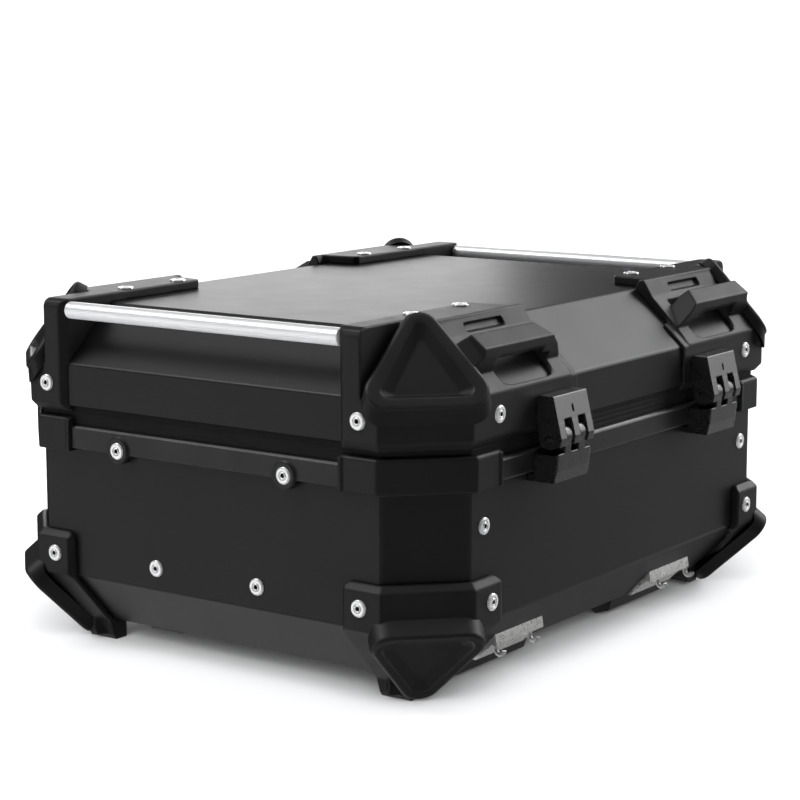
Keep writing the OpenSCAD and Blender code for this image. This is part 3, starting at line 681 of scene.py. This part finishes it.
def rod(node, axis, chamfer, dimple=0.0, count=48):
    """Each solid of the node as a turned rod with chamfered ends, and a centre mark where dimple is given.
    """
    bm = bmesh.new()
    for middle, low, high in islands(node):
        half = (high[axis] - low[axis]) / 2
        r = min((high - low)[i] for i in range(3) if i != axis) / 2
        end = [(r, half - chamfer), (r - chamfer * 0.3, half - chamfer * 0.3), (r - chamfer, half)]
        if dimple:
            end += [(r * 0.42, half), (r * 0.3, half - dimple), (0, half - dimple)]
        else:
            end += [(0, half)]
        profile = [(a, -b) for a, b in reversed(end)] + end
        normal = Vector([1.0 if i == axis else 0.0 for i in range(3)])
        spin(bm, profile, facing(middle, normal), count)
    stand_for(make(node + "_turned", bm, [SURFACES[SLOT[node]]], angle=35), node)


for side in SIDES:
    rod(f"side_rail_{side}", 1, 0.8 * MM, count=72)
rod("hinge_pins", 0, 0.5 * MM, 0.5 * MM)
rod("latch_pins", 0, 0.5 * MM, 0.5 * MM)


# ------------------------------------------------------------------ release spring

def make_spring():
    """The release spring as a coil of round wire."""
    low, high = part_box("release_spring")
    middle = (low + high) / 2
    wire = 0.45 * MM
    radius = (high.x - low.x) / 2 - wire
    turns, steps, around = 6, 18, 8
    count = turns * steps
    length = high.y - low.y - 2 * wire
    rise = length / (2 * math.pi * turns)
    rings = []
    for i in range(count + 1):
        share = i / count
        a = 2 * math.pi * turns * share
        out = Vector((math.cos(a), 0, math.sin(a)))
        centre = Vector((middle.x, low.y + wire + length * share, middle.z)) + out * radius
        along = Vector((-math.sin(a) * radius, rise, math.cos(a) * radius)).normalized()
        across = along.cross(out)
        rings.append([centre + (out * math.cos(b) + across * math.sin(b)) * wire
                      for b in (2 * math.pi * k / around for k in range(around))])
    bm = bmesh.new()
    loft(bm, rings, capped=True)
    stand_for(make("release_coil", bm, [SURFACES["pin_steel"]], angle=60), "release_spring")


make_spring()


# ------------------------------------------------------------------ quilted linings

def make_lining(node, shown_up):
    """Foam panel with a sewn diamond pattern on the side that shows, and a bound edge."""
    low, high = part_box(node)
    hw = diagonal_reach(node)
    cell, pitch = 3.2 * MM, 38 * MM
    nx, ny = round(2 * high.x / cell), round(2 * high.y / cell)
    bm = bmesh.new()
    grid = [[bm.verts.new((low.x + (high.x - low.x) * i / nx, low.y + (high.y - low.y) * j / ny, 0))
             for j in range(ny + 1)] for i in range(nx + 1)]
    for i in range(nx):
        for j in range(ny):
            bm.faces.new((grid[i][j], grid[i + 1][j], grid[i + 1][j + 1], grid[i][j + 1]))
    for sx in (-1, 1):
        for sy in (-1, 1):
            normal = Vector((sx, sy, 0)).normalized()
            cut_off(bm, normal * hw, normal)
    rim = {v for e in bm.edges if len(e.link_faces) == 1 for v in e.verts}
    top = high.z - low.z
    border = 9 * MM
    for v in bm.verts:
        x, y = v.co.x, v.co.y
        edge = min(high.x - abs(x), high.y - abs(y), hw - (abs(x) + abs(y)) / math.sqrt(2))
        a = abs(((x + y) / pitch + 0.5) % 1 - 0.5) * pitch
        b = abs(((x - y) / pitch + 0.5) % 1 - 0.5) * pitch
        seam = max(math.exp(-(min(a, b) / (2.4 * MM)) ** 2), math.exp(-((edge - border) / (1.8 * MM)) ** 2))
        v.co.z = top * (0.3 if v in rim else 1 - (0.42 * seam if edge > border * 0.4 else 0.2))
    made = bmesh.ops.extrude_face_region(bm, geom=bm.faces[:])
    for v in [g for g in made["geom"] if isinstance(g, bmesh.types.BMVert)]:
        v.co.z = 0
    for v in bm.verts:
        v.co.z = low.z + v.co.z if shown_up else high.z - v.co.z
    edge_layer(bm)
    stand_for(make(node + "_quilted", bm, [SURFACES["foam_lining"]], angle=60), node)


make_lining("base_liner", True)
make_lining("lid_liner", False)


# ------------------------------------------------------------------ moulded armour

def mirrored(sx, sy):
    """Turns (y, z, x) of the rear right corner into a point of the corner at (sx, sy)."""
    return lambda y, z, x: Vector((sx * x, sy * y, z))


def guard_face():
    """How far out the upper guards' long faces stand, and how high their top plates are."""
    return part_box("hinge_lid_right")[0].y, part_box("lid_shell")[1].z + 6 * MM


def quarter_round(r):
    """Points round a quarter of a circle, as (inwards, upwards), from (0, 0) to (r, r)."""
    return [(r - r * math.cos(a), r * math.sin(a)) for a in (math.pi / 2 * k / 8 for k in range(9))]


def rectangle(a0, a1, b0, b1):
    return [(a0, b0), (a1, b0), (a1, b1), (a0, b1)]


def bar_shoulder(corner, sx, sy):
    """The tie-down bar's outer end, run out level with the pad's rim and stopped at it."""
    side, top = guard_face()
    outer = max(abs(p.x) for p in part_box(f"lid_guard_{corner}"))
    starts, ends = outer - 70 * MM, outer - 20 * MM
    across = [(-21.5, -19), (-18.5, -11.4), (-13.7, -6.8), (-3.3, -14.5), (-3.9, -19.4), (-7, -26),
              (-10, -31), (-21.5, -24)]
    solid = prism([(side + y * MM, top + z * MM) for y, z in across], starts, ends, mirrored(sx, sy))
    pad = LID_PAD[corner]
    clipped(solid, pad.at(0, 0, -1.2 * MM), pad.n)
    half, height, r, start = PAD_FACE
    lean = math.atan2(half - r, height - 2 * r)
    beside = sx * sy
    reach = r - 6 * MM
    point = pad.at(beside * (half - r + reach * math.cos(lean)), start + r + reach * math.sin(lean), 0)
    return clipped(solid, point, -(pad.s * beside * math.cos(lean) + pad.v * math.sin(lean)))


def pocket_corners(corner, sx, sy):
    """Rounds for the two lower corners of the pocket under the bar."""
    side, top = guard_face()
    inner = min(abs(p.x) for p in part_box(f"lid_guard_{corner}"))
    up, out = Vector((-0.673, 0.74)), Vector((0.74, 0.673))
    start = Vector((side - 2.2 * MM, top - 37.3 * MM))
    r = 8 * MM
    near_wall, far_wall = inner + 22 * MM, inner + 78 * MM
    outline = [(-MM, -MM), (-MM, r), *[(a, r - b) for a, b in quarter_round(r)], (r, -MM)]

    def corner_at(wall, way):
        def place(a, b, t):
            p = start + up * b + out * t
            return Vector((sx * (wall + way * a), sy * p.x, p.y))
        return prism(outline, -3.6 * MM, -0.3 * MM, place)

    return [corner_at(far_wall, -1), corner_at(near_wall, 1)]


def slot_floor(corner, sx, sy):
    """Floor of the shallow slot behind the bar."""
    side, top = guard_face()
    inner = min(abs(p.x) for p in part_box(f"lid_guard_{corner}"))
    starts, ends = inner + 34 * MM, inner + 76 * MM
    across = [(-44.5, -11), (-31, -11), (-35.2, -4.2), (-44.5, -4.2)]
    return prism([(side + y * MM, top + z * MM) for y, z in across], starts, ends, mirrored(sx, sy))


def guard_ends(node, sx, sy, drop):
    """Cutters that round the upper corners at a lower guard's two ends."""
    low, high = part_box(node)
    top = high.z - drop
    r = 6 * MM
    spare, past = 2 * MM, 5 * MM
    deep_x, deep_y = 25 * MM, 12 * MM
    outline = [(-spare, -r), *[(a, b - r) for a, b in quarter_round(r)], (r, spare), (-spare, spare)]
    end_x, end_y = min(abs(low.x), abs(high.x)), min(abs(low.y), abs(high.y))
    outer_x, outer_y = max(abs(low.x), abs(high.x)), max(abs(low.y), abs(high.y))
    along_y = prism([(end_y + a, top + b) for a, b in outline], outer_x - deep_x, outer_x + past,
                    mirrored(sx, sy))
    along_x = prism([(end_x + a, top + b) for a, b in outline], outer_y - deep_y, outer_y + past,
                    lambda x, z, y: Vector((sx * x, sy * y, z)))
    return [along_y, along_x]


FINGERS = 5
LOWER_FINGERS = (1, 3)


def finger_span(node, i, gap):
    """Where one of the hinge's fingers starts and ends along the pin."""
    low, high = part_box(node)
    pitch = (high.x - low.x) / FINGERS
    return low.x + i * pitch + gap, low.x + (i + 1) * pitch - gap


def upright(y, z, x):
    """Turns (y, z, x) into a point."""
    return Vector((x, y, z))


KNUCKLE_R = 8 * MM


def knuckle(node, i, radius, gap):
    """A round solid about the hinge's pin, one finger wide."""
    low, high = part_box("hinge_pins")
    y, z = (low.y + high.y) / 2, (low.z + high.z) / 2
    ring = [(y + radius * math.cos(a), z + radius * math.sin(a))
            for a in (2 * math.pi * k / 40 for k in range(40))]
    return prism(ring, *finger_span(node, i, gap), upright)


def hinge_windows(node):
    """Cutters that open the upper leaf above the lower leaf's two knuckles."""
    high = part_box(node)[1]
    play = 0.5 * MM
    opening = rectangle(high.y - 9 * MM, high.y + 2 * MM, high.z - 17.5 * MM, high.z - 14 * MM)
    slots = [prism(opening, *finger_span(node, i, 0), upright) for i in LOWER_FINGERS]
    return slots + [knuckle(node, i, KNUCKLE_R + play, 0) for i in LOWER_FINGERS]


def hinge_knuckles(node):
    """Full round knuckles for the lower leaf, and its face closed below them."""
    low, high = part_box(node)
    gap, margin = 0.4 * MM, 1 * MM
    across = [(-8, 6.5), (-1.4, 6.5), (-0.4, 16.7), (-0.3, 17.6), (-2.3, 17.6), (-3.2, 16.7), (-8, 16.7)]
    face = [(high.y + y * MM, low.z + z * MM) for y, z in across]
    solids = [knuckle(node, i, KNUCKLE_R, gap) for i in LOWER_FINGERS]
    return solids + [prism(face, low.x + margin, high.x - margin, upright)]


def hinge_slit(node):
    """Short slit in the middle of the lower leaf."""
    low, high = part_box(node)
    x = (low.x + high.x) / 2
    half_width = 0.6 * MM
    slit = rectangle(high.y - 3 * MM, high.y + 2 * MM, low.z + 6 * MM, low.z + 10.5 * MM)
    return [prism(slit, x - half_width, x + half_width, upright)]


GUARD_DROP = 4.6 * MM
GUARD_SHOULDER = 70 * MM
HINGE_GRAIN = 0.37 * MM
HINGE_WEAR = 0.2


def lowered(point):
    """The lower guards' top edge, let down onto the photograph's height."""
    return point - Vector((0, 0, GUARD_DROP if point.z > GUARD_SHOULDER else 0))


for corner, (sx, sy) in CORNERS.items():
    moulded(f"lid_guard_{corner}", 0.75 * MM, 4,
            add=[bar_shoulder(corner, sx, sy), slot_floor(corner, sx, sy),
                 *pocket_corners(corner, sx, sy)])
    node = f"base_guard_{corner}"
    moulded(node, 0.8 * MM, 5, cut=guard_ends(node, sx, sy, GUARD_DROP), shaped=lowered)
    moulded(f"rim_corner_{corner}", 0.7 * MM, 5)
for side in SIDES:
    upper, lower = f"hinge_lid_{side}", f"hinge_base_{side}"
    moulded(upper, HINGE_GRAIN, 5, kept=1, wear=HINGE_WEAR, cut=hinge_windows(upper))
    moulded(lower, HINGE_GRAIN, 5, kept=1, wear=HINGE_WEAR, add=hinge_knuckles(lower),
            cut=hinge_slit(lower))


# ------------------------------------------------------------------ everything else, softened

# Node, how wide its edges are rounded in millimetres, and in how many steps
SOFT = [
    ("rim_rail_front", 1.3, 4), ("rim_rail_rear", 1.3, 4), ("rim_rail_left", 1.0, 4),
    ("rim_rail_right", 1.0, 4), ("lid_rim", 0.5, 2), ("mount_pan", 0.9, 3),
    ("release_housing", 0.6, 3), ("release_button", 0.9, 3), ("release_bolt", 0.5, 2),
    ("release_lock", 0.3, 2), ("latch_keepers", 0.5, 2),
]
for side in SIDES:
    SOFT += [(f"hook_plate_{side}", 0.3, 2), (f"latch_housing_{side}", 0.6, 3),
             (f"latch_lever_{side}", 0.6, 3), (f"latch_claw_{side}", 0.4, 2),
             (f"latch_lock_{side}", 0.25, 2)]
for node, width, segments in SOFT:
    soften(node, width * MM, segments, merge=0.16 * MM)


# ------------------------------------------------------------------ floor, light and camera

def staged(name, bm, material):
    """One piece of the stage."""
    mesh = bpy.data.meshes.new(name)
    bm.to_mesh(mesh)
    bm.free()
    mesh.materials.append(material)
    stage = bpy.data.objects.new(name, mesh)
    bpy.context.scene.collection.objects.link(stage)
    stage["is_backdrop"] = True
    return stage


STAGE_RADIUS = 30
WALL_HEIGHT = 16


def make_floor():
    """A wide pale floor."""
    g = Graph("studio_floor")
    g.link(g.mixed(g.ranged(g.noise(0.4), 0, 1), (0.86, 0.865, 0.875), (0.89, 0.895, 0.9)),
           g.shader.inputs["Base Color"])
    g.shader.inputs["Roughness"].default_value = 0.9
    g.shader.inputs["Specular IOR Level"].default_value = 0.1
    bm = bmesh.new()
    spin(bm, [(STAGE_RADIUS, 0), (0, 0)], Matrix.Translation((0, 0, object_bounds()[0].z)), 96)
    floor = staged("studio_floor", bm, g.material)
    floor.visible_glossy = False
    return floor


def make_backdrop():
    """A plain white wall far behind everything; it is seen, but lights nothing."""
    g = Graph("studio_backdrop")
    g.link(g.mixed(g.noise(9.0), (0.98, 0.98, 0.98), (1, 1, 1)), g.shader.inputs["Emission Color"])
    g.shader.inputs["Emission Strength"].default_value = 1.1
    bm = bmesh.new()
    spin(bm, [(STAGE_RADIUS, WALL_HEIGHT), (STAGE_RADIUS, 0)],
         Matrix.Translation((0, 0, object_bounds()[0].z)), 96)
    wall = staged("studio_backdrop", bm, g.material)
    wall.visible_diffuse = False
    wall.visible_glossy = False
    wall.visible_shadow = False


def softbox(name, direction, distance, width, height, power, target):
    """A rectangular light at that distance from its target, facing it."""
    data = bpy.data.lights.new(name, "AREA")
    data.shape = "RECTANGLE"
    data.size, data.size_y, data.energy = width, height, power
    light = bpy.data.objects.new(name, data)
    away = Vector(direction).normalized()
    light.location = Vector(target) + away * distance
    light.rotation_euler = away.to_track_quat("Z", "Y").to_euler()
    bpy.context.scene.collection.objects.link(light)
    return light


def sun(name, direction, spread, strength):
    """Light from far off in one direction, softened over spread degrees."""
    data = bpy.data.lights.new(name, "SUN")
    data.angle, data.energy = math.radians(spread), strength
    light = bpy.data.objects.new(name, data)
    light.rotation_euler = Vector(direction).to_track_quat("Z", "Y").to_euler()
    bpy.context.scene.collection.objects.link(light)
    return light


# Soft areas of the room: direction, the angles where each is full and gone, and how bright it is.
# The levels were fitted to the photograph's greys, then rounded and changed. Each note says
# which surfaces show that area.
ROOM = [
    ((0, 0, -1), 40, 90, 0.12),               # everything that faces down
    ((0, 0.23, 0.95), 10, 45, 0.82),          # everything that faces up
    ((0.17, -0.57, 0.80), 15, 40, 0.5),       # the end's upper slope and the rim rail
    ((0.42, -0.52, 0.74), 5, 18, 7.2),        # lines along rounded edges
    ((0.72, -0.66, -0.21), 10, 30, 1.0),      # the end's wall and the rivets
    ((-0.11, -0.57, -0.81), 10, 30, 0.6),     # the end's lower slope
    ((-0.86, -0.09, 0.50), 10, 30, 0.5),      # the hinge side's upper slope, in three parts
    ((-0.80, 0.16, 0.56), 8, 25, 1.8),
    ((-0.78, 0.28, 0.56), 4, 15, 6.4),
    ((-0.80, 0.40, 0.42), 8, 20, 1.3),        # ledges and the bars' edges
    ((-0.80, 0.55, 0.22), 5, 15, 3.7),        # hinge faces
    ((-0.95, 0.20, -0.20), 8, 25, 0.55),      # the hinge side's wall
    ((-0.80, -0.13, -0.58), 10, 25, 0.13),    # the hinge side's lower slope
]


def make_world():
    """A dark room with soft bright areas."""
    world = bpy.data.worlds.new("studio")
    world.use_nodes = True
    bpy.context.scene.world = world
    tree = world.node_tree
    background = tree.nodes["Background"]
    background.inputs["Color"].default_value = (0.985, 0.99, 1, 1)
    place = tree.nodes.new("ShaderNodeTexCoord")
    total = None
    for direction, full, gone, level in ROOM:
        dot = tree.nodes.new("ShaderNodeVectorMath")
        dot.operation = "DOT_PRODUCT"
        dot.inputs[1].default_value = Vector(direction).normalized()
        tree.links.new(place.outputs["Generated"], dot.inputs[0])
        fall = tree.nodes.new("ShaderNodeMapRange")
        fall.interpolation_type = "SMOOTHSTEP"
        fall.inputs["From Min"].default_value = math.cos(math.radians(gone))
        fall.inputs["From Max"].default_value = math.cos(math.radians(full))
        fall.inputs["To Max"].default_value = level
        tree.links.new(dot.outputs["Value"], fall.inputs["Value"])
        if total is None:
            total = fall.outputs["Result"]
            continue
        add = tree.nodes.new("ShaderNodeMath")
        tree.links.new(fall.outputs["Result"], add.inputs[0])
        tree.links.new(total, add.inputs[1])
        total = add.outputs[0]
    tree.links.new(total, background.inputs["Strength"])


def make_camera():
    """The photograph's viewpoint, in millimetres, with its lens given as pixels on an 800 pixel frame.
    The values come from a least-squares fit to points seen in the photograph."""
    frame_width = 800
    eye = Vector((1207.07, 849.31, 392.25)) * MM
    data = bpy.data.cameras.new("camera")
    camera = bpy.data.objects.new("camera", data)
    bpy.context.scene.collection.objects.link(camera)
    yaw, pitch, roll, lens = math.radians(215.33), math.radians(9.64), math.radians(-0.07), 2240.24
    ahead = Vector((math.cos(yaw) * math.cos(pitch), math.sin(yaw) * math.cos(pitch), -math.sin(pitch)))
    right = ahead.cross(Vector((0, 0, 1))).normalized()
    up = right.cross(ahead)
    across = math.cos(roll) * right + math.sin(roll) * up
    upward = -math.sin(roll) * right + math.cos(roll) * up
    place = Matrix((across, upward, -ahead)).transposed().to_4x4()
    place.translation = eye
    camera.matrix_world = place
    data.sensor_width = 36
    data.lens = lens * data.sensor_width / frame_width
    data.clip_end = 200
    bpy.context.scene.camera = camera


def make_lights(floor):
    """A softbox behind the case, mirrored in its top, and a sun that lights only the floor."""
    behind, aside = Vector((-0.8156, -0.5786, 0)), Vector((0.145, -0.204, 0.27))
    softbox("backdrop_box", behind + aside, 1.06, 0.76, 0.42, 3.0, (0, 0, 0.2))
    floor_sun = sun("floor_sun", (0.72, 0.46, 0.50), 60, 4.3)
    only_floor = bpy.data.collections.new("lit_by_floor_sun")
    only_floor.objects.link(floor)
    floor_sun.light_linking.receiver_collection = only_floor


make_backdrop()
make_world()
make_lights(make_floor())
make_camera()
bpy.context.scene.view_settings.view_transform = "Standard"
